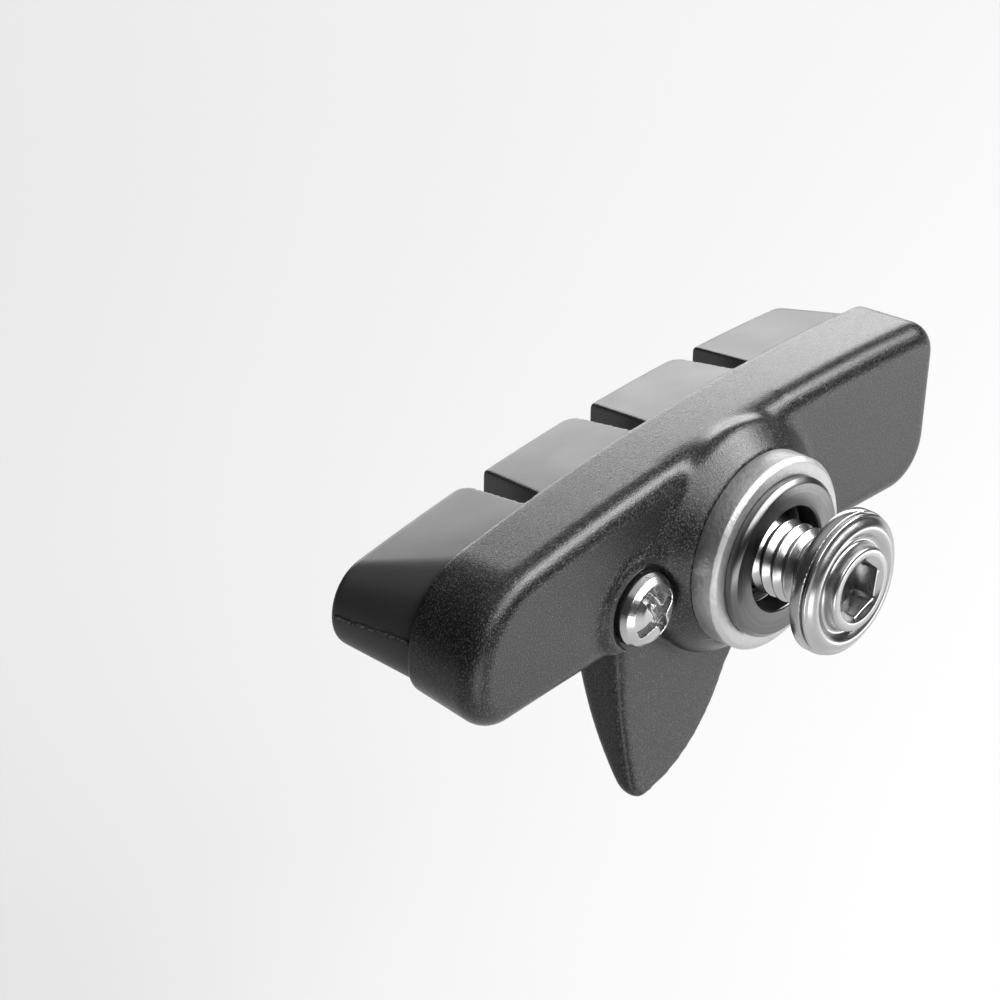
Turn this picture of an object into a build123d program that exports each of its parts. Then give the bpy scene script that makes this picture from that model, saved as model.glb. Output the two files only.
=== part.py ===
from build123d import *
import math
import os

# A road caliper brake shoe, in millimetres. The clamp bolt's axis is Y, and the caliper arm sits against
# the convex washer's flat face at y = 0. +Y points to the rim, +X to the open end, and +Z away from the hub.

# Stations along the bolt axis, counted from the arm face
arm_gap = 4.5                 # room that the arm fills, between the two washer faces
convex_proud = 0.9            # convex washer stands out of the concave one
concave_thick = 2.1
boss_height = 2.0             # boss face to the shoe's flat back
shoe_depth = 7.0              # flat back to the rim of the channel
pad_stand_out = 7.3           # pad's height above the channel's rim

seat_y = convex_proud
boss_y = seat_y + concave_thick
back_y = boss_y + boss_height
rim_y = back_y + shoe_depth
friction_y = rim_y + pad_stand_out

# Shoe body, seen along the bolt axis
closed_end_x = -29.5
open_end_x = 25.4
open_end_lean = 1.2           # how much further back the open end's lower corner lies
shoe_bottom_z = -4.7
shoe_top_z = 9.2
shoe_draft = 0.8              # how much each side draws in from the back to the rim
top_arch_x = 8.0
top_arch_radius = 200.0
bottom_arch_x = -2.0
bottom_arch_radius = 600.0
nose_drop = 2.3               # what the two corner radii leave free of the shoe's height
nose_top_radius = 7.5
nose_bottom_radius = shoe_top_z - shoe_bottom_z - nose_drop - nose_top_radius
open_top_radius = 2.8
open_bottom_radius = 4.4
back_edge_radius = 1.7

# Channel that holds the pad
channel_wall = 1.2            # beside the pad's foot
lip_reach = 0.9               # the lips turn in by this much
lip_thick = 1.5
floor_thick = 2.4
slide_gap = 0.08              # pad to channel, all round
past_end_x = open_end_x + open_end_lean + open_bottom_radius    # where the channel's own end is rounded

# Brake pad
ledge_inset = 0.5             # pad's side behind the shoe's side, at the rim
face_top_z = 6.05
face_bottom_z = -2.5
face_arch_x = 6.0
face_arch_radius = 225.0
face_end_reach = 0.4          # friction face past the shoe's open end
face_nose_radius = 3.3
face_corner_radius = 3.2
face_edge_radius = 0.6
groove_floor = 0.4            # solid pad left under each groove, above the rim
groove_width = 1.5            # at the floor
groove_mouth = 2.4            # at the friction face
groove_lean = 1.4             # mouth's middle further along than the floor's
groove_mouth_radius = 1.2     # on the mouth's closed-end side
groove_floor_radius = 0.4
groove_places = (-14.5, -2.2, 10.1)

# Boss, cast with the shoe
boss_face_radius = 7.6
boss_foot_radius = 9.3
boss_shoulder = 0.6           # straight run of the foot, below the flat back
boss_tail_radius = 7.4
boss_tail = 4.6               # boss's run past the flat back, into the shoe
boss_blend = 0.6

# Fin, cast with the shoe, leaning out from the wheel as it goes down
fin_left_x = -10.9
fin_tip_z = -18.4
fin_tip_radius = 1.3
fin_tip_back_y = 5.1
fin_tip_thick = 1.2
fin_root_back = 2.1           # from the flat back to the fin's back, at its root
fin_root_front = 0.4          # from the rim to the fin's wheel side, at its root
fin_hollow = (-3.9, -16.9)    # three points (x, z) on the lower edge, from the tip to the open end
fin_turn = (1.6, -12.4)
fin_sweep = (7.6, -7.9)
fin_end = (17.0, -4.6)        # where the lower edge runs into the shoe
fin_back_bow = (6.6, -10.8)   # a point (y, z) on the back, and one on the wheel side
fin_front_bow = (10.0, -11.6)

# Clamp bolt, M6, and the washer behind its head
thread_radius = 3.0
thread_gap = 0.05
thread_depth = 3.6            # tapped depth in the boss
thread_runout = 0.5           # hole past the bolt's tip
tip_chamfer = 0.5
bolt_washer_radius = 5.6
bolt_washer_thick = 0.9
bolt_washer_gap = 0.2
flange_radius = 5.5
flange_thick = 0.45
dome_radius = 4.55
dome_rise = 0.95
valley_radius = 3.75
valley_rise = 0.45
hub_radius = 3.3
hub_foot_rise = 0.75
hub_rise = 1.5
hub_edge = 0.25
hex_flats = 4.0
hex_depth = 2.6
hex_turn = 18.6
hex_chamfer = 0.3

# Spherical washers
concave_radius = 7.55
convex_radius = 6.25
washer_bore_radius = 4.1
sphere_radius = 11.0
ball_gap = 0.02
washer_edge = 0.35

# Pad screw, M3 pan head, in a cast collar
screw_x = -11.2
screw_z = -1.1
screw_radius = 1.5
screw_gap = 0.05
screw_tip_gap = 0.3
screw_head_radius = 2.9
screw_head_height = 2.4
screw_dome = 1.0
screw_stand_out = 1.7         # head's top above the collar
head_gap = 0.3
collar_wall = 1.0
collar_height = 0.5
recess_width = 1.0
recess_length = 4.9
recess_depth = 1.0
recess_turn = 30.0

screw_top_y = back_y - collar_height - screw_stand_out
screw_seat_y = screw_top_y + screw_head_height
screw_tip_y = rim_y - lip_thick


def prism(face, y_from, y_to):
    """A face drawn with X across and Z up, made solid from one y station to another."""
    return extrude(Plane.XZ.offset(-y_from) * face, amount=y_from - y_to)


def disc(radius, y_from, y_to, x=0.0, z=0.0):
    """A cylinder along Y between two stations."""
    return prism(Pos(x, z) * Circle(radius), y_from, y_to)


def turned(*outline):
    """A solid turned about the Y axis from its half section, drawn as (radius, y)."""
    return revolve(make_face(outline), Axis.Y)


def arched_outline(left, right, bottom, top, arch_x, arch_radius, radii):
    """An outline with a nearly straight lower edge, an arched upper edge and a leaning open end. Its four
    corner radii go round from the closed end's top, by the bottom, to the open end's top."""

    def upper(x):
        return top - arch_radius + math.sqrt(arch_radius**2 - (x - arch_x) ** 2)

    def lower(x):
        return bottom - bottom_arch_radius + math.sqrt(bottom_arch_radius**2 - (x - bottom_arch_x) ** 2)

    heel = right - open_end_lean
    corners = [(left, upper(left)), (left, lower(left)), (heel, lower(heel)), (right, upper(right))]
    left_top, left_bottom, right_bottom, right_top = corners
    face = make_face([
        ThreePointArc(left_top, (arch_x, top), right_top),
        Line(right_top, right_bottom),
        ThreePointArc(right_bottom, (bottom_arch_x, bottom), left_bottom),
        Line(left_bottom, left_top),
    ])
    for corner, radius in zip(corners, radii):
        if radius > 0:
            face = fillet(face.vertices().sort_by_distance((*corner, 0))[0], radius)
    return face


def shoe_outline(inset, right=open_end_x):
    """The shoe's outline at its flat back, drawn in by an inset all round but at the open end."""
    return arched_outline(
        closed_end_x + inset,
        right,
        shoe_bottom_z + inset,
        shoe_top_z - inset,
        top_arch_x,
        top_arch_radius,
        (nose_top_radius - inset, nose_bottom_radius - inset, open_bottom_radius - inset, open_top_radius - inset),
    )


def fin():
    """The curved wheel guide under the shoe: its side view met by its end view."""
    root_z = shoe_bottom_z + channel_wall
    side = make_face([
        Line((fin_left_x, root_z), (fin_left_x, fin_tip_z)),
        ThreePointArc((fin_left_x, fin_tip_z), fin_hollow, fin_turn),
        ThreePointArc(fin_turn, fin_sweep, fin_end),
        Line(fin_end, (fin_end[0], root_z)),
        Line((fin_end[0], root_z), (fin_left_x, root_z)),
    ])
    side = fillet(side.vertices().sort_by_distance((fin_left_x, fin_tip_z, 0))[0], fin_tip_radius)
    back_root = back_y + fin_root_back
    front_root = rim_y - fin_root_front
    tip_front_y = fin_tip_back_y + fin_tip_thick
    end = make_face([
        ThreePointArc((back_root, root_z), fin_back_bow, (fin_tip_back_y, fin_tip_z)),
        Line((fin_tip_back_y, fin_tip_z), (tip_front_y, fin_tip_z)),
        ThreePointArc((tip_front_y, fin_tip_z), fin_front_bow, (front_root, root_z)),
        Line((front_root, root_z), (back_root, root_z)),
    ])
    along = extrude(Plane.YZ.offset(fin_left_x - 1) * end, amount=fin_end[0] - fin_left_x + 2)
    return prism(side, fin_tip_back_y - 1, rim_y) & along


def shoe_holder():
    body = loft([
        Plane.XZ.offset(-back_y) * shoe_outline(0),
        Plane.XZ.offset(-rim_y) * shoe_outline(shoe_draft),
    ])
    body = fillet(body.faces().sort_by(Axis.Y)[0].edges(), back_edge_radius)

    boss = turned(Polyline(
        (0, boss_y),
        (boss_face_radius, boss_y),
        (boss_foot_radius, back_y),
        (boss_foot_radius, back_y + boss_shoulder),
        (boss_tail_radius, back_y + boss_tail),
        (0, back_y + boss_tail),
        close=True,
    ))
    bossed = body + boss
    bossed = fillet(new_edges(body, boss, combined=bossed), boss_blend)

    pocket_radius = screw_head_radius + head_gap
    pocket = disc(pocket_radius, back_y - boss_height, screw_seat_y, screw_x, screw_z)
    collar = disc(pocket_radius + collar_wall, back_y - collar_height, screw_seat_y, screw_x, screw_z)
    casting = bossed + fin() + (collar & prism(shoe_outline(shoe_draft), back_y - collar_height, rim_y))

    slot_y = rim_y - lip_thick
    floor_y = back_y + floor_thick
    casting -= prism(shoe_outline(channel_wall, past_end_x), floor_y, slot_y)
    casting -= prism(shoe_outline(channel_wall + lip_reach, past_end_x), floor_y, rim_y + 1)
    casting -= disc(thread_radius + thread_gap, boss_y - 1, boss_y + thread_depth)
    casting -= pocket
    return casting - disc(screw_radius + screw_gap, back_y, floor_y + 1, screw_x, screw_z)


def brake_pad():
    foot_from = back_y + floor_thick
    foot_inset = channel_wall + slide_gap
    in_shoe = prism(shoe_outline(shoe_draft), foot_from, rim_y)
    foot = prism(shoe_outline(foot_inset, past_end_x), foot_from, rim_y - lip_thick - slide_gap)
    neck = prism(shoe_outline(foot_inset + lip_reach, past_end_x), foot_from, rim_y)
    ledge = shoe_outline(shoe_draft + ledge_inset, open_end_x - shoe_draft - ledge_inset)
    face = arched_outline(
        closed_end_x + ledge_inset,
        open_end_x + face_end_reach,
        face_bottom_z,
        face_top_z,
        face_arch_x,
        face_arch_radius,
        (face_nose_radius, face_nose_radius, face_corner_radius, face_corner_radius),
    )
    blocks = loft([Plane.XZ.offset(-rim_y) * ledge, Plane.XZ.offset(-friction_y) * face])
    blocks = fillet(blocks.faces().sort_by(Axis.Y)[-1].edges(), face_edge_radius)
    pad = ((foot + neck) & in_shoe) + blocks

    floor_y = rim_y + groove_floor
    mouth_left, mouth_right = groove_lean - groove_mouth / 2, groove_lean + groove_mouth / 2
    groove = make_face(Polyline(
        (-groove_width / 2, floor_y),
        (groove_width / 2, floor_y),
        (mouth_right, friction_y),
        (mouth_right, friction_y + 1),
        (mouth_left - 2 * groove_mouth_radius, friction_y + 1),
        (mouth_left - 2 * groove_mouth_radius, friction_y),
        (mouth_left, friction_y),
        close=True,
    ))
    groove = fillet(groove.vertices().group_by(Axis.Y)[0], groove_floor_radius)
    groove = fillet(groove.vertices().sort_by_distance((mouth_left, friction_y, 0))[0], groove_mouth_radius)
    for place in groove_places:
        pad -= extrude(Pos(place, 0) * groove, amount=shoe_top_z - shoe_bottom_z, both=True)
    return pad - disc(screw_radius + screw_gap, back_y, screw_tip_y + screw_tip_gap, screw_x, screw_z)


def concave_washer():
    """The washer against the boss, hollowed on its arm side."""
    ball_y = convex_proud - math.sqrt(sphere_radius**2 - convex_radius**2)
    ring = disc(concave_radius, seat_y, boss_y)
    ring = chamfer(ring.edges().group_by(Axis.Y)[0], washer_edge)
    ring -= Pos(0, ball_y, 0) * Sphere(sphere_radius)
    return ring - disc(washer_bore_radius, seat_y - 1, boss_y + 1)


def convex_washer():
    """The washer against the caliper arm, with its round back in the hollow of the other."""
    ball_y = convex_proud - math.sqrt(sphere_radius**2 - convex_radius**2)
    ring = disc(convex_radius, 0, boss_y) & Pos(0, ball_y, 0) * Sphere(sphere_radius - ball_gap)
    ring = chamfer(ring.edges().group_by(Axis.Y)[0], washer_edge)
    return ring - disc(washer_bore_radius, -1, boss_y + 1)


def bolt_washer():
    back = -arm_gap - bolt_washer_thick
    ring = disc(bolt_washer_radius, back, -arm_gap)
    return ring - disc(thread_radius + bolt_washer_gap, back - 1, 0)


def clamp_bolt():
    seat = -arm_gap - bolt_washer_thick
    top = seat - hub_rise
    tip = boss_y + thread_depth - thread_runout
    bolt = turned(
        Polyline(
            (0, tip),
            (thread_radius - tip_chamfer, tip),
            (thread_radius, tip - tip_chamfer),
            (thread_radius, seat),
            (flange_radius, seat),
            (flange_radius, seat - flange_thick),
        ),
        ThreePointArc(
            (flange_radius, seat - flange_thick),
            (dome_radius, seat - dome_rise),
            (valley_radius, seat - valley_rise),
        ),
        Polyline(
            (valley_radius, seat - valley_rise),
            (hub_radius, seat - hub_foot_rise),
            (hub_radius, top + hub_edge),
            (hub_radius - hub_edge, top),
            (0, top),
            (0, tip),
        ),
    )
    hexagon = Rot(0, 0, hex_turn) * RegularPolygon(hex_flats / 2, 6, major_radius=False)
    bolt -= prism(hexagon, top - 1, top + hex_depth)
    corner = hex_flats / math.sqrt(3)
    lead_in = turned(Polyline(
        (0, top - 1),
        (corner + 1, top - 1),
        (corner - hex_chamfer, top + hex_chamfer),
        (0, top + hex_chamfer),
        close=True,
    ))
    return bolt - lead_in


def pad_screw():
    screw = turned(
        TangentArc((0, screw_top_y), (screw_head_radius, screw_top_y + screw_dome), tangent=(1, 0)),
        Polyline(
            (screw_head_radius, screw_top_y + screw_dome),
            (screw_head_radius, screw_seat_y),
            (screw_radius, screw_seat_y),
            (screw_radius, screw_tip_y),
            (0, screw_tip_y),
            (0, screw_top_y),
        ),
    )
    cross = Rectangle(recess_length, recess_width) + Rectangle(recess_width, recess_length)
    screw -= prism(Rot(0, 0, recess_turn) * cross, screw_top_y - 1, screw_top_y + recess_depth)
    return Pos(screw_x, 0, screw_z) * screw


pieces = {
    "shoe_holder": shoe_holder,
    "brake_pad": brake_pad,
    "pad_screw": pad_screw,
    "concave_washer": concave_washer,
    "convex_washer": convex_washer,
    "clamp_bolt": clamp_bolt,
    "bolt_washer": bolt_washer,
}

os.makedirs("parts", exist_ok=True)
for name, make in pieces.items():
    export_step(make(), f"parts/{name}.step")
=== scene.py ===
import bpy
import bmesh
import math
import random
from mathutils import Matrix, Vector, noise
from mathutils.bvhtree import BVHTree


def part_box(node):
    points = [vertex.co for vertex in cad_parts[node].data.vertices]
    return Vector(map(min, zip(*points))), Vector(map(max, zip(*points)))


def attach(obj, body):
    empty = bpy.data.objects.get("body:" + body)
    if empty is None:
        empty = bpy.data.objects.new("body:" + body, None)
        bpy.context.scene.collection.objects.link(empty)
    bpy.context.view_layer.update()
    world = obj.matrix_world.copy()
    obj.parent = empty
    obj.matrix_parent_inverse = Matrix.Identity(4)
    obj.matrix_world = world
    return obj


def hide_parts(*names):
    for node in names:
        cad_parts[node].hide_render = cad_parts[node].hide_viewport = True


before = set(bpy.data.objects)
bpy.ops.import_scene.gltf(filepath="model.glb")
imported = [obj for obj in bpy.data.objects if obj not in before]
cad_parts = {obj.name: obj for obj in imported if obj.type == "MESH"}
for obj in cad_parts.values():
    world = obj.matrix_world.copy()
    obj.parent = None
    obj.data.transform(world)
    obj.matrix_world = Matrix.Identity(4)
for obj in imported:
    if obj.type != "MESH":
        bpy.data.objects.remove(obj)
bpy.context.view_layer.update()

scene = bpy.context.scene
mm = 0.001


# Shoe holder: one aluminium die casting with the channel, the bolt boss, the screw's collar and the curved
# fin, shot-blasted and then painted satin black, so every edge is softened and the skin has a fine grain.
def new_piece(name, mesh, slot, *nodes):
    """A finished mesh as a piece of the shoe that stands for CAD nodes."""
    piece = bpy.data.objects.new(name, mesh)
    scene.collection.objects.link(piece)
    mesh.shade_smooth()
    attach(piece, "root")
    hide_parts(*nodes)
    return piece


def joined_copy(node):
    """A copy of a CAD node's mesh with its loose triangles joined."""
    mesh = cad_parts[node].data.copy()
    mesh.materials.clear()
    bm = bmesh.new()
    bm.from_mesh(mesh)
    bmesh.ops.remove_doubles(bm, verts=bm.verts, dist=0.002 * mm)
    bm.to_mesh(mesh)
    bm.free()
    return mesh


def modified(mesh, *stages):
    """A mesh put through a row of modifiers, each given as its type and a dict of its settings."""
    draft = bpy.data.objects.new("draft", mesh)
    scene.collection.objects.link(draft)
    for kind, settings in stages:
        stage = draft.modifiers.new(kind, kind)
        for label, value in settings.items():
            setattr(stage, label, value)
    done = bpy.data.meshes.new_from_object(draft.evaluated_get(bpy.context.evaluated_depsgraph_get()))
    bpy.data.objects.remove(draft)
    return done


def moulded_skin(mesh, cell, rounds):
    """One even skin over a sharp solid, with the soft edges that a mould and paint leave."""
    return modified(
        mesh,
        ("REMESH", {"mode": "VOXEL", "voxel_size": cell}),
        ("SMOOTH", {"factor": 0.5, "iterations": rounds}),
    )


def thinned(mesh, share):
    """A skin with a share of its faces, the fewest of them where it is nearly flat."""
    return modified(mesh, ("DECIMATE", {"decimate_type": "COLLAPSE", "ratio": share}))


def without_crumbs(mesh):
    """Deletes the specks that the remesh leaves loose beside the one skin."""
    bm = bmesh.new()
    bm.from_mesh(mesh)
    reached = set()
    front = [max(bm.verts, key=lambda v: v.co.z)]
    while front:
        v = front.pop()
        if v not in reached:
            reached.add(v)
            front.extend(e.other_vert(v) for e in v.link_edges)
    bmesh.ops.delete(bm, geom=[v for v in bm.verts if v not in reached], context="VERTS")
    bm.to_mesh(mesh)
    bm.free()
    return mesh


def soften_where(mesh, near, rounds):
    """Blends the skin further at the vertices that a test picks."""
    bm = bmesh.new()
    bm.from_mesh(mesh)
    picked = [v for v in bm.verts if near(v.co / mm)]
    for _ in range(rounds):
        bmesh.ops.smooth_vert(
            bm, verts=picked, factor=0.5, use_axis_x=True, use_axis_y=True, use_axis_z=True,
        )
    bm.to_mesh(mesh)
    bm.free()


def at_boss_foot(p):
    """Where the boss runs out into the flat back, above the fin."""
    radius = math.hypot(p.x, p.z)
    return 8.6 < radius < 11.2 and 4.3 < p.y < 8.2 and p.z > -6.0


def at_collar(p):
    """Where the screw's collar rises from the flat back."""
    radius = math.hypot(p.x + 11.2, p.z + 1.1)
    return 3.5 < radius < 5.6 and 4.3 < p.y < 6.2


def at_fin_root(p):
    """Where the fin leaves the channel's underside."""
    return -12.0 < p.x < 16.0 and -9.6 < p.z < -4.0 and 4.4 < p.y < 9.6


def on_fin(p):
    """The fin itself, which hangs below the channel."""
    return p.z < -5.9


skin_cell = 0.12 * mm
holder_rounds = 22
holder_share = 0.35
holder_mesh = moulded_skin(joined_copy("shoe_holder"), skin_cell, holder_rounds)
for near, rounds in ((at_boss_foot, 60), (at_collar, 40), (at_fin_root, 60), (on_fin, 55)):
    soften_where(holder_mesh, near, rounds)
holder_skin = without_crumbs(thinned(holder_mesh, holder_share))
holder = new_piece("holder_casting", holder_skin, "satin_black_paint", "shoe_holder")


def new_group(name, inputs, outputs):
    """An empty shader group with its sockets, and its input and output nodes."""
    group = bpy.data.node_groups.new(name, "ShaderNodeTree")
    for label, kind, value in inputs:
        socket = group.interface.new_socket(label, in_out="INPUT", socket_type=kind)
        socket.default_value = value
    for label, kind in outputs:
        group.interface.new_socket(label, in_out="OUTPUT", socket_type=kind)
    return group, group.nodes.new("NodeGroupInput"), group.nodes.new("NodeGroupOutput")


# Grain: an uneven height, and a mask of scattered bright specks
grain_group, grain_in, grain_out = new_group(
    "surface_grain",
    [
        ("Per metre", "NodeSocketFloat", 4000.0),
        ("Speck limit", "NodeSocketFloat", 0.7),
    ],
    [("Height", "NodeSocketFloat"), ("Specks", "NodeSocketFloat"), ("Cloud", "NodeSocketFloat")],
)
place = grain_group.nodes.new("ShaderNodeTexCoord")
fine = grain_group.nodes.new("ShaderNodeTexNoise")
fine.inputs["Detail"].default_value = 2.5
fine.inputs["Roughness"].default_value = 0.6
grain_group.links.new(place.outputs["Object"], fine.inputs["Vector"])
grain_group.links.new(grain_in.outputs["Per metre"], fine.inputs["Scale"])
grain_group.links.new(fine.outputs["Fac"], grain_out.inputs["Height"])
speck = grain_group.nodes.new("ShaderNodeTexNoise")
speck.inputs["Detail"].default_value = 0.0
grain_group.links.new(place.outputs["Object"], speck.inputs["Vector"])
grain_group.links.new(grain_in.outputs["Per metre"], speck.inputs["Scale"])
limit = grain_group.nodes.new("ShaderNodeMapRange")
limit.inputs["To Min"].default_value = 0.0
limit.inputs["To Max"].default_value = 1.0
limit.inputs["From Max"].default_value = 0.9
grain_group.links.new(speck.outputs["Fac"], limit.inputs["Value"])
grain_group.links.new(grain_in.outputs["Speck limit"], limit.inputs["From Min"])
grain_group.links.new(limit.outputs["Result"], grain_out.inputs["Specks"])
cloud = grain_group.nodes.new("ShaderNodeTexNoise")
cloud.inputs["Scale"].default_value = 160.0
cloud.inputs["Detail"].default_value = 3.0
grain_group.links.new(place.outputs["Object"], cloud.inputs["Vector"])
grain_group.links.new(cloud.outputs["Fac"], grain_out.inputs["Cloud"])


def new_material(name, **values):
    """A Principled material with its constant values set on the shader's own sockets."""
    material = bpy.data.materials.new(name)
    material.use_nodes = True
    shader = material.node_tree.nodes["Principled BSDF"]
    for label, value in values.items():
        shader.inputs[label.replace("_", " ")].default_value = value
    return material, material.node_tree, shader


def add_grain(tree, per_metre, speck_limit):
    """Places the grain in a material: its fineness, and the noise above which a speck shows."""
    grain = tree.nodes.new("ShaderNodeGroup")
    grain.node_tree = grain_group
    grain.inputs["Per metre"].default_value = per_metre
    grain.inputs["Speck limit"].default_value = speck_limit
    return grain


def add_range(tree, source, target, low, high):
    """Feeds a value from a source socket, spread from low to high, into a target socket."""
    spread = tree.nodes.new("ShaderNodeMapRange")
    spread.inputs["To Min"].default_value = low
    spread.inputs["To Max"].default_value = high
    tree.links.new(source, spread.inputs["Value"])
    tree.links.new(spread.outputs["Result"], target)


def add_bump(tree, height, shader, strength, distance):
    """A bump on the shader's normal."""
    bump = tree.nodes.new("ShaderNodeBump")
    bump.inputs["Strength"].default_value = strength
    bump.inputs["Distance"].default_value = distance
    tree.links.new(height, bump.inputs["Height"])
    tree.links.new(bump.outputs["Normal"], shader.inputs["Normal"])


def add_tint(tree, factor, dark, light, shader):
    """Mixes two colours by a factor into the base colour."""
    # The Mix node's colour sockets share their names with others, so they are taken by number
    tint = tree.nodes.new("ShaderNodeMix")
    tint.data_type = "RGBA"
    tint.inputs[6].default_value = (*dark, 1.0)
    tint.inputs[7].default_value = (*light, 1.0)
    tree.links.new(factor, tint.inputs[0])
    tree.links.new(tint.outputs[2], shader.inputs["Base Color"])


paint, paint_tree, paint_shader = new_material("satin_black_paint", Specular_IOR_Level=0.36)
paint_grain = add_grain(paint_tree, 8000.0, 0.5)
add_tint(
    paint_tree, paint_grain.outputs["Specks"], (0.006, 0.006, 0.0063), (0.075, 0.075, 0.077), paint_shader,
)
add_range(paint_tree, paint_grain.outputs["Height"], paint_shader.inputs["Roughness"], 0.2, 0.4)
add_bump(paint_tree, paint_grain.outputs["Height"], paint_shader, 0.8, 0.035 * mm)
holder.data.materials.append(paint)


# Brake pad: one moulding of black brake rubber, slid into the channel. Three grooves split its face into
# four blocks, and the mould left a thin ragged line of flash down the closed end.
pad_rounds = 9
pad_share = 0.4
pad_mesh = thinned(moulded_skin(joined_copy("brake_pad"), skin_cell, pad_rounds), pad_share)
pad_side = BVHTree.FromPolygons(
    [v.co for v in pad_mesh.vertices], [f.vertices for f in pad_mesh.polygons],
)

flash_z = 0.5
flash_from_y = 12.3
flash_to_y = 18.9
flash_steps = 44
flash_wide = 0.12
flash_proud = 0.24
flash_root = 0.2
flash_wander = 0.16
flash_taper = 0.8

flash = bmesh.new()
bmesh.ops.create_grid(flash, x_segments=flash_steps, y_segments=1, size=0.5)
bmesh.ops.translate(flash, verts=flash.verts, vec=(0.5, 0, 0))
ragged = random.Random(7)
for v in flash.verts:
    along = v.co.x
    edge = 1 if v.co.y > 0 else -1
    wander = noise.noise(Vector((along * 9, 3.1, 0.7)))
    y = flash_from_y + along * (flash_to_y - flash_from_y)
    skin_x = pad_side.ray_cast(Vector((-40, y, flash_z)) * mm, Vector((1, 0, 0)))[0].x / mm
    v.co = Vector((
        skin_x + flash_root,
        y,
        flash_z + wander * flash_wander + edge * flash_wide * ragged.uniform(0.7, 1.2),
    ))
lip = bmesh.ops.extrude_face_region(flash, geom=flash.faces[:])
for v in lip["geom"]:
    if isinstance(v, bmesh.types.BMVert):
        v.co.x -= flash_root + flash_proud * ragged.uniform(0.1, 1.0)
        v.co.z = flash_z + (v.co.z - flash_z) * flash_taper
bmesh.ops.scale(flash, verts=flash.verts, vec=(mm, mm, mm))
bmesh.ops.recalc_face_normals(flash, faces=flash.faces)
flash_mesh = bpy.data.meshes.new("pad_flash")
flash.to_mesh(flash_mesh)
flash.free()

rubber, rubber_tree, rubber_shader = new_material("brake_rubber", Specular_IOR_Level=0.5)
rubber_grain = add_grain(rubber_tree, 6500.0, 0.62)
rubber_place = rubber_tree.nodes.new("ShaderNodeTexCoord")
rubber_axes = rubber_tree.nodes.new("ShaderNodeSeparateXYZ")
rubber_tree.links.new(rubber_place.outputs["Object"], rubber_axes.inputs["Vector"])
on_face = rubber_tree.nodes.new("ShaderNodeMapRange")
face_y = 19.3
on_face.inputs["From Min"].default_value = (face_y - 0.2) * mm
on_face.inputs["From Max"].default_value = (face_y - 0.05) * mm
rubber_tree.links.new(rubber_axes.outputs["Y"], on_face.inputs["Value"])
face_specks = rubber_tree.nodes.new("ShaderNodeMath")
face_specks.operation = "MULTIPLY"
rubber_tree.links.new(on_face.outputs["Result"], face_specks.inputs[0])
rubber_tree.links.new(rubber_grain.outputs["Specks"], face_specks.inputs[1])
add_tint(
    rubber_tree, face_specks.outputs["Value"], (0.018, 0.018, 0.019), (0.2, 0.2, 0.2), rubber_shader,
)
add_range(rubber_tree, rubber_grain.outputs["Cloud"], rubber_shader.inputs["Roughness"], 0.36, 0.5)
add_bump(rubber_tree, rubber_grain.outputs["Height"], rubber_shader, 0.3, 0.02 * mm)

pad = new_piece("pad_moulding", pad_mesh, "brake_rubber", "brake_pad")
pad.data.materials.append(rubber)
pad_flash = bpy.data.objects.new("pad_flash_line", flash_mesh)
scene.collection.objects.link(pad_flash)
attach(pad_flash, "root")
pad_flash.data.materials.append(rubber)


# Pad screw: an M3 pan-head machine screw, cold headed with a wide cross recess and zinc plated. It goes
# through the back of the holder into the pad, and keeps the pad from sliding out of the channel.
def turned_mesh(outline, steps, start_turn=0.0):
    """A closed mesh turned about the Y axis from a half section of (radius, y) points in millimetres."""
    bm = bmesh.new()
    verts = [bm.verts.new((radius * mm, y * mm, 0.0)) for radius, y in outline]
    edges = [bm.edges.new(pair) for pair in zip(verts, verts[1:])]
    if outline[0][0] > 0:
        edges.append(bm.edges.new((verts[-1], verts[0])))
    turn = Matrix.Rotation(math.radians(-start_turn), 4, "Y")
    bmesh.ops.transform(bm, matrix=turn, verts=bm.verts)
    bmesh.ops.spin(
        bm, geom=verts + edges, cent=(0, 0, 0), axis=(0, 1, 0), dvec=(0, 0, 0),
        angle=2 * math.pi, steps=steps, use_merge=True,
    )
    bmesh.ops.remove_doubles(bm, verts=bm.verts, dist=0.0005 * mm)
    bmesh.ops.recalc_face_normals(bm, faces=bm.faces)
    return bm


def finished_mesh(bm, name):
    """The mesh that a bmesh makes, with the bmesh itself freed."""
    mesh = bpy.data.meshes.new(name)
    bm.to_mesh(mesh)
    bm.free()
    return mesh


screw_low, screw_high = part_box("pad_screw")
screw_x = (screw_low.x + screw_high.x) / 2 / mm
screw_z = (screw_low.z + screw_high.z) / 2 / mm
screw_top = screw_low.y / mm
screw_tip = screw_high.y / mm
screw_seat = screw_top + 2.4
head_radius = (screw_high.x - screw_low.x) / 2 / mm
shank_radius = 1.5
recess_turn = 30.0
recess_arm = (4.9, 2.4, 1.05)    # one arm of the cross, along, deep and wide

screw_bm = turned_mesh(
    [
        (0, screw_top),
        (0.9, screw_top + 0.06),
        (1.7, screw_top + 0.26),
        (2.3, screw_top + 0.6),
        (2.7, screw_top + 0.98),
        (head_radius, screw_top + 1.45),
        (head_radius, screw_seat - 0.2),
        (head_radius - 0.15, screw_seat),
        (shank_radius, screw_seat),
        (shank_radius, screw_tip),
        (0, screw_tip),
    ],
    64,
)
screw_mesh = finished_mesh(screw_bm, "pad_screw")

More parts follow.
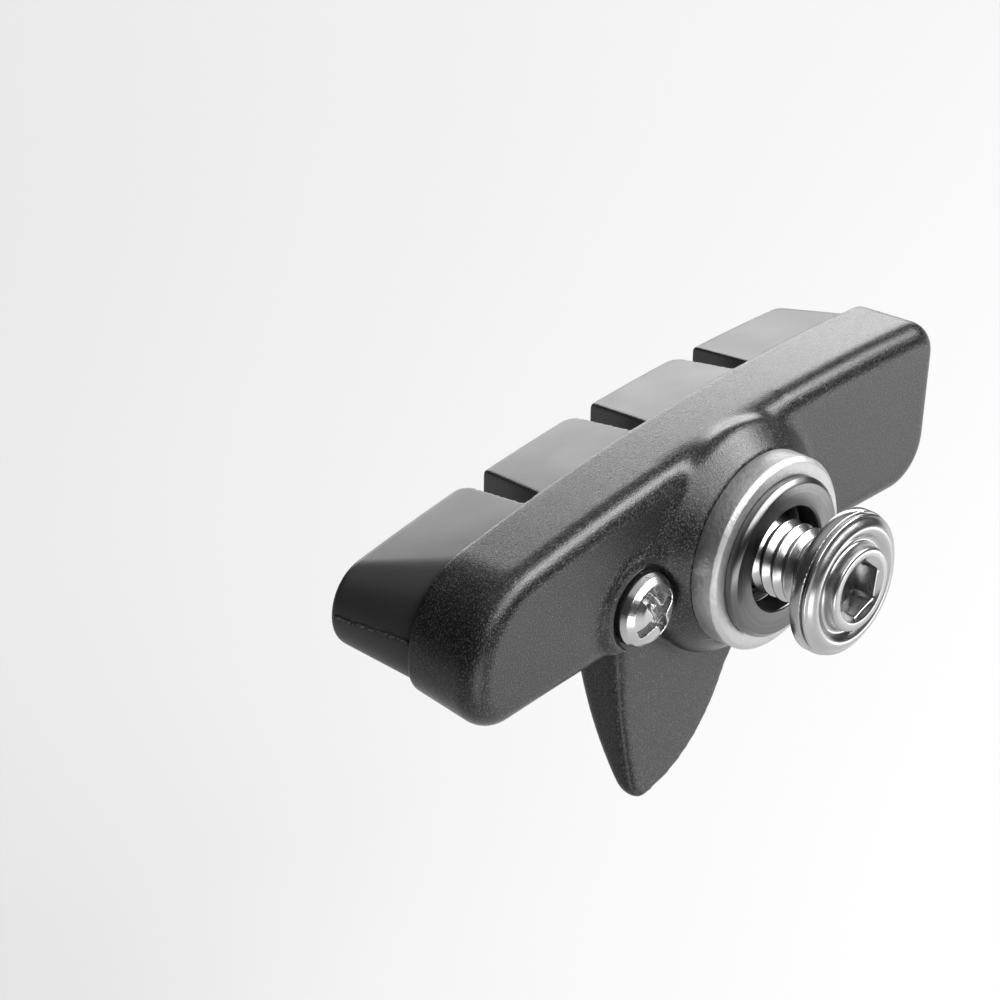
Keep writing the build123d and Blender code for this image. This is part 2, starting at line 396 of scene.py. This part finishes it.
recess = bmesh.new()
for quarter in (0.0, 90.0):
    arm = bmesh.ops.create_cube(recess, size=1.0)["verts"]
    bmesh.ops.scale(recess, verts=arm, vec=recess_arm)
    for v in arm:
        if v.co.y > 0:
            v.co.x *= 0.8
            v.co.z *= 0.78
    quarter_turn = Matrix.Rotation(math.radians(quarter), 3, "Y")
    bmesh.ops.rotate(recess, verts=arm, cent=(0, 0, 0), matrix=quarter_turn)
pit = bmesh.ops.create_cone(
    recess, segments=24, cap_ends=True, radius1=0.35, radius2=1.15, depth=2.9,
    matrix=Matrix.Rotation(math.radians(90), 4, "X"),
)["verts"]
bmesh.ops.translate(recess, verts=pit, vec=(0, 0.35, 0))
turned = Matrix.Rotation(math.radians(-recess_turn), 4, "Y")
bmesh.ops.transform(
    recess, matrix=Matrix.Translation((0, screw_top + 0.02, 0)) @ turned, verts=recess.verts,
)
bmesh.ops.scale(recess, verts=recess.verts, vec=(mm, mm, mm))
recess_mesh = finished_mesh(recess, "recess")


def cut_mesh(mesh, cutter_mesh):
    """One mesh with another cut out of it."""
    blank = bpy.data.objects.new("blank", mesh)
    cutter = bpy.data.objects.new("cutter", cutter_mesh)
    scene.collection.objects.link(blank)
    scene.collection.objects.link(cutter)
    cut = blank.modifiers.new("cut", "BOOLEAN")
    cut.operation = "DIFFERENCE"
    cut.solver = "EXACT"
    cut.use_self = True
    cut.object = cutter
    done = bpy.data.meshes.new_from_object(blank.evaluated_get(bpy.context.evaluated_depsgraph_get()))
    bpy.data.objects.remove(blank)
    bpy.data.objects.remove(cutter)
    return done


screw_cell = 0.06 * mm
screw_mesh = moulded_skin(cut_mesh(screw_mesh, recess_mesh), screw_cell, 2)
screw_mesh.transform(Matrix.Translation((screw_x * mm, 0, screw_z * mm)))
screw = new_piece("pad_screw_headed", screw_mesh, "bright_steel", "pad_screw")

zinc, zinc_tree, zinc_shader = new_material("zinc_plate", Metallic=1.0)
zinc_grain = add_grain(zinc_tree, 2600.0, 0.62)
add_tint(zinc_tree, zinc_grain.outputs["Cloud"], (0.38, 0.38, 0.38), (0.52, 0.52, 0.523), zinc_shader)
add_range(zinc_tree, zinc_grain.outputs["Height"], zinc_shader.inputs["Roughness"], 0.14, 0.3)
add_bump(zinc_tree, zinc_grain.outputs["Height"], zinc_shader, 0.25, 0.03 * mm)
screw.data.materials.append(zinc)


# Concave washer: a thick steel washer against the boss, hollowed to a shallow ball seat. It is turned and
# then tumbled, which leaves its faces pale and even, and its wall rough with small dents.
def rounded(mesh, width):
    """A turned mesh with its sharp edges rounded."""
    return modified(mesh, ("BEVEL", {
        "width": width,
        "affect": "EDGES",
        "segments": 3,
        "profile": 0.5,
        "material": -1,
        "limit_method": "ANGLE",
        "angle_limit": math.radians(24),
        "harden_normals": True,
    }))


ball_radius = 11.0
rim_radius = 6.25
bore_radius = 4.1
lathe_steps = 128


def ball_y(radius, ball):
    """Where a ball about the washers' common centre has a given radius."""
    return math.sqrt(ball**2 - radius**2) - math.sqrt(ball_radius**2 - rim_radius**2)


def arc_points(ball, y_offset, from_radius, to_radius, count):
    """Points along a washer's ball seat, from one radius to another."""
    steps = [from_radius + (to_radius - from_radius) * i / (count - 1) for i in range(count)]
    return [(radius, y_offset + ball_y(radius, ball)) for radius in steps]


concave_low, concave_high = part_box("concave_washer")
seat_y = concave_low.y / mm
boss_y = concave_high.y / mm
concave_radius = concave_high.x / mm
hollow = arc_points(ball_radius, seat_y, rim_radius, bore_radius, 8)
concave_bm = turned_mesh(
    [
        (concave_radius - 0.35, seat_y),
        *hollow,
        (bore_radius, boss_y),
        (concave_radius, boss_y),
        (concave_radius, seat_y + 0.35),
    ],
    lathe_steps,
)
concave_mesh = rounded(finished_mesh(concave_bm, "concave_washer"), 0.07 * mm)
concave = new_piece("concave_washer_tumbled", concave_mesh, "tumbled_steel", "concave_washer")

tumbled, tumbled_tree, tumbled_shader = new_material("tumbled_steel", Metallic=1.0)
tumbled_grain = add_grain(tumbled_tree, 2000.0, 0.55)
add_tint(tumbled_tree, tumbled_grain.outputs["Cloud"], (0.4, 0.4, 0.4), (0.54, 0.54, 0.54), tumbled_shader)
add_range(tumbled_tree, tumbled_grain.outputs["Height"], tumbled_shader.inputs["Roughness"], 0.42, 0.62)
add_bump(tumbled_tree, tumbled_grain.outputs["Height"], tumbled_shader, 1.0, 0.07 * mm)
concave.data.materials.append(tumbled)


# Convex washer: a thinner steel washer with a ball-shaped back in the seat of the other, and a flat face
# for the caliper's arm. Its face is left as turned, with fine rings.
convex_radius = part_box("convex_washer")[1].x / mm
convex_bm = turned_mesh(
    [
        (bore_radius, 0.12),
        (bore_radius + 0.12, 0.0),
        (convex_radius - 0.35, 0.0),
        (convex_radius, 0.35),
        *arc_points(ball_radius - 0.02, seat_y, convex_radius, bore_radius, 8),
    ],
    lathe_steps,
)
convex_mesh = rounded(finished_mesh(convex_bm, "convex_washer"), 0.04 * mm)
convex = new_piece("convex_washer_turned", convex_mesh, "turned_steel", "convex_washer")

# Lathe rings: fine circles about the bolt's axis
rings_group, rings_in, rings_out = new_group(
    "lathe_rings",
    [("Per metre", "NodeSocketFloat", 8000.0)],
    [("Height", "NodeSocketFloat")],
)
rings_place = rings_group.nodes.new("ShaderNodeTexCoord")
flat_place = rings_group.nodes.new("ShaderNodeVectorMath")
flat_place.operation = "MULTIPLY"
flat_place.inputs[1].default_value = (1, 0, 1)
radius_node = rings_group.nodes.new("ShaderNodeVectorMath")
radius_node.operation = "LENGTH"
rings = rings_group.nodes.new("ShaderNodeTexNoise")
rings.noise_dimensions = "1D"
rings.inputs["Detail"].default_value = 3.0
rings_group.links.new(rings_place.outputs["Object"], flat_place.inputs[0])
rings_group.links.new(flat_place.outputs["Vector"], radius_node.inputs[0])
rings_group.links.new(radius_node.outputs["Value"], rings.inputs["W"])
rings_group.links.new(rings_in.outputs["Per metre"], rings.inputs["Scale"])
rings_group.links.new(rings.outputs["Fac"], rings_out.inputs["Height"])


def add_rings(tree, per_metre):
    """Places the lathe rings in a material, with their fineness."""
    made = tree.nodes.new("ShaderNodeGroup")
    made.node_tree = rings_group
    made.inputs["Per metre"].default_value = per_metre
    return made


lathe, lathe_tree, lathe_shader = new_material("turned_steel", Metallic=1.0, Anisotropic=0.4)
lathe_grain = add_grain(lathe_tree, 1500.0, 0.6)
lathe_rings = add_rings(lathe_tree, 5200.0)
add_tint(lathe_tree, lathe_rings.outputs["Height"], (0.1, 0.1, 0.1), (0.16, 0.16, 0.16), lathe_shader)
add_range(lathe_tree, lathe_grain.outputs["Height"], lathe_shader.inputs["Roughness"], 0.24, 0.38)
add_bump(lathe_tree, lathe_rings.outputs["Height"], lathe_shader, 0.12, 0.01 * mm)
convex.data.materials.append(lathe)


# Clamp bolt: an M6 steel bolt with a dished flange head, a raised hub and a 4 mm hex socket. The head is
# cold forged and the thread rolled, and then all of it is chrome plated.
washer_low, washer_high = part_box("bolt_washer")
head_seat = washer_low.y / mm
bolt_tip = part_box("clamp_bolt")[1].y / mm
socket_flat = 2.0       # from the axis to a flat of the hex, and to a corner
socket_corner = 2.31
socket_mouth = -1.27    # the last row of the socket that is drawn to the hex
socket_turn = 18.6
head_steps = 48

head_outline = [
    (0, 2.3), (2.0, 2.3), (2.35, 2.1), (2.35, 0.3), (2.35, 0.0), (3.2, 0.0), (5.1, 0.0), (5.22, -0.03),
    (5.4, -0.09), (5.49, -0.18), (5.5, -0.26), (5.48, -0.36), (5.4, -0.43), (5.24, -0.47), (5.1, -0.6),
    (4.85, -0.82),
    (4.55, -0.93), (4.25, -0.88), (4.0, -0.7), (3.82, -0.52), (3.62, -0.45), (3.46, -0.5), (3.36, -0.66),
    (3.32, -0.95), (3.3, -1.2), (3.26, -1.38), (3.12, -1.48), (2.95, -1.5), (2.72, -1.5), (2.6, -1.49),
    (2.5, -1.42), (2.36, -1.27), (2.32, -1.2), (2.31, -1.1), (2.31, 0.6), (2.31, 0.98), (2.31, 1.06),
    (2.2, 1.1), (1.4, 1.14), (0, 1.16),
]
head_bm = turned_mesh([(radius, head_seat + y) for radius, y in head_outline], head_steps, socket_turn)
for v in head_bm.verts:
    radius = math.hypot(v.co.x, v.co.z) / mm
    y = v.co.y / mm - head_seat
    on_wall = 2.15 < radius < 2.34 and -1.35 < y < 1.12
    at_mouth = 2.34 < radius < 2.38 and abs(y - socket_mouth) < 0.001
    if on_wall or at_mouth:
        angle = math.degrees(math.atan2(v.co.z, v.co.x)) - socket_turn
        drawn = socket_flat / math.cos(math.radians(angle % 60 - 30)) / socket_corner
        v.co.x *= drawn
        v.co.z *= drawn
head_mesh = finished_mesh(head_bm, "bolt_head")

pitch = 1.0
turn_steps = 60
root_radius = 2.46
crest_radius = 2.98
turns = math.ceil(bolt_tip - head_seat) + 1
thread_bm = bmesh.new()
thread_section = [
    (root_radius, 0.0), (root_radius + 0.03, 0.06), (crest_radius - 0.05, 0.40), (crest_radius, 0.46),
    (crest_radius, 0.54), (crest_radius - 0.05, 0.60), (root_radius + 0.03, 0.94), (root_radius, 1.0),
]
section_verts = [thread_bm.verts.new((r * mm, (head_seat - 0.5 + y) * mm, 0)) for r, y in thread_section]
section_edges = [thread_bm.edges.new(pair) for pair in zip(section_verts, section_verts[1:])]
bmesh.ops.spin(
    thread_bm, geom=section_verts + section_edges, cent=(0, 0, 0), axis=(0, 1, 0),
    dvec=(0, pitch * mm / turn_steps, 0), angle=2 * math.pi * turns, steps=turn_steps * turns,
    use_merge=False,
)
bmesh.ops.remove_doubles(thread_bm, verts=thread_bm.verts, dist=0.002 * mm)
for cut_y, side in ((head_seat + 0.6, -1), (bolt_tip, 1)):
    bmesh.ops.bisect_plane(
        thread_bm, geom=thread_bm.verts[:] + thread_bm.edges[:] + thread_bm.faces[:], dist=1e-8,
        plane_co=(0, cut_y * mm, 0), plane_no=(0, side, 0), clear_outer=True,
    )
bmesh.ops.holes_fill(thread_bm, edges=[e for e in thread_bm.edges if e.is_boundary], sides=0)
bmesh.ops.recalc_face_normals(thread_bm, faces=thread_bm.faces)
thread_mesh = finished_mesh(thread_bm, "bolt_thread")


smooth_head = modified(head_mesh, ("SUBSURF", {"levels": 2, "render_levels": 2}))
bolt_head = new_piece("clamp_bolt_head", smooth_head, "bright_steel", "clamp_bolt")
bolt_thread = new_piece("clamp_bolt_thread", thread_mesh, "bright_steel", "clamp_bolt")

chrome, chrome_tree, chrome_shader = new_material("chrome_plate", Metallic=1.0)
chrome_grain = add_grain(chrome_tree, 1400.0, 0.6)
add_tint(
    chrome_tree, chrome_grain.outputs["Cloud"], (0.34, 0.34, 0.343), (0.44, 0.44, 0.444), chrome_shader,
)
add_range(chrome_tree, chrome_grain.outputs["Height"], chrome_shader.inputs["Roughness"], 0.19, 0.31)
chrome_rings = add_rings(chrome_tree, 3000.0)
add_bump(chrome_tree, chrome_rings.outputs["Height"], chrome_shader, 0.12, 0.01 * mm)
bolt_head.data.materials.append(chrome)
bolt_thread.data.materials.append(chrome)


# Bolt washer: a thin flat steel washer, stamped and chrome plated, which stays loose behind the bolt's
# head and takes its turning off the caliper's arm.
washer_y = washer_high.y / mm
washer_radius = washer_high.x / mm
washer_bore = 3.2
washer_bm = turned_mesh(
    [
        (washer_bore, head_seat),
        (washer_bore, washer_y),
        (washer_radius, washer_y),
        (washer_radius, head_seat),
    ],
    head_steps * 4,
    socket_turn,
)
washer_mesh = rounded(finished_mesh(washer_bm, "bolt_washer"), 0.09 * mm)
bolt_washer = new_piece("bolt_washer_plated", washer_mesh, "bright_steel", "bolt_washer")
bolt_washer.data.materials.append(chrome)


# Studio: a plain pale floor well below the shoe, and white softboxes. The large one hangs above, and the
# others stand where the boss, the back edge, the blocks' tops, the fin and the closed end reflect them.
floor_z = -0.090
floor_bm = bmesh.new()
bmesh.ops.create_grid(floor_bm, x_segments=1, y_segments=1, size=3.0)
bmesh.ops.translate(floor_bm, verts=floor_bm.verts, vec=(0, 0, floor_z))
floor = bpy.data.objects.new("floor", finished_mesh(floor_bm, "floor"))
scene.collection.objects.link(floor)
floor_paint, _, floor_shader = new_material("floor_white", Roughness=0.9, Specular_IOR_Level=0.1)
floor_shader.inputs["Base Color"].default_value = (0.5, 0.5, 0.5, 1)
floor.data.materials.append(floor_paint)


def add_softbox(name, spot, wide, high, watts, aim=(0, 0, 0)):
    """A white area light at a spot, facing the shoe."""
    light = bpy.data.lights.new(name, "AREA")
    light.shape = "RECTANGLE"
    light.size = wide
    light.size_y = high
    light.energy = watts
    lamp = bpy.data.objects.new(name, light)
    lamp.location = spot
    lamp.rotation_euler = (Vector(aim) - Vector(spot)).to_track_quat("-Z", "Y").to_euler()
    scene.collection.objects.link(lamp)


add_softbox("overhead", (0.0, 0.1, 0.8), 1.2, 1.2, 2.8)
add_softbox("front_strip", (0.165, -0.275, 0.385), 0.42, 0.2, 3.6)
add_softbox("behind_right", (0.49, 0.50, 0.17), 0.5, 0.24, 2.8)
add_softbox("right_upper", (0.40, -0.21, 0.39), 0.28, 0.22, 2.6)
add_softbox("front_left", (-0.125, -0.36, 0.325), 0.2, 0.16, 1.1)
add_softbox("right_low_card", (0.13, -0.13, -0.06), 0.12, 0.04, 0.05, aim=(0, 0, -0.01))
add_softbox("left_low_card", (-0.107, -0.129, -0.06), 0.1, 0.07, 0.08, aim=(-0.02, 0, 0))

world = bpy.data.worlds.new("studio_air")
world.use_nodes = True
world.node_tree.nodes["Background"].inputs["Color"].default_value = (1, 1, 1, 1)
world.node_tree.nodes["Background"].inputs["Strength"].default_value = 0.06
scene.world = world
scene.view_settings.view_transform = "Standard"

# Camera: a long lens at the photograph's viewing angle
azimuth = math.radians(-50.0)
elevation = math.radians(29.16)
roll = math.radians(0.8)
distance = 0.400
pixels_per_metre = 13610.0
picture = 1000.0
origin_across = 787.0
origin_down = 558.9

back = Vector((
    math.sin(azimuth) * math.cos(elevation),
    -math.cos(azimuth) * math.cos(elevation),
    math.sin(elevation),
))
level = Vector((math.cos(azimuth), math.sin(azimuth), 0))
upright = back.cross(level)
right = math.cos(roll) * level + math.sin(roll) * upright
up = -math.sin(roll) * level + math.cos(roll) * upright
across = (origin_across - picture / 2) / pixels_per_metre
down = (origin_down - picture / 2) / pixels_per_metre

camera_data = bpy.data.cameras.new("camera")
camera_data.sensor_width = 36.0
camera_data.lens = 36.0 * pixels_per_metre * distance / picture
camera_data.clip_start = 0.01
camera_data.clip_end = 20.0
camera = bpy.data.objects.new("camera", camera_data)
scene.collection.objects.link(camera)
place_at = back * distance - right * across + up * down
camera.matrix_world = Matrix.Translation(place_at) @ Matrix((right, up, back)).transposed().to_4x4()
scene.camera = camera
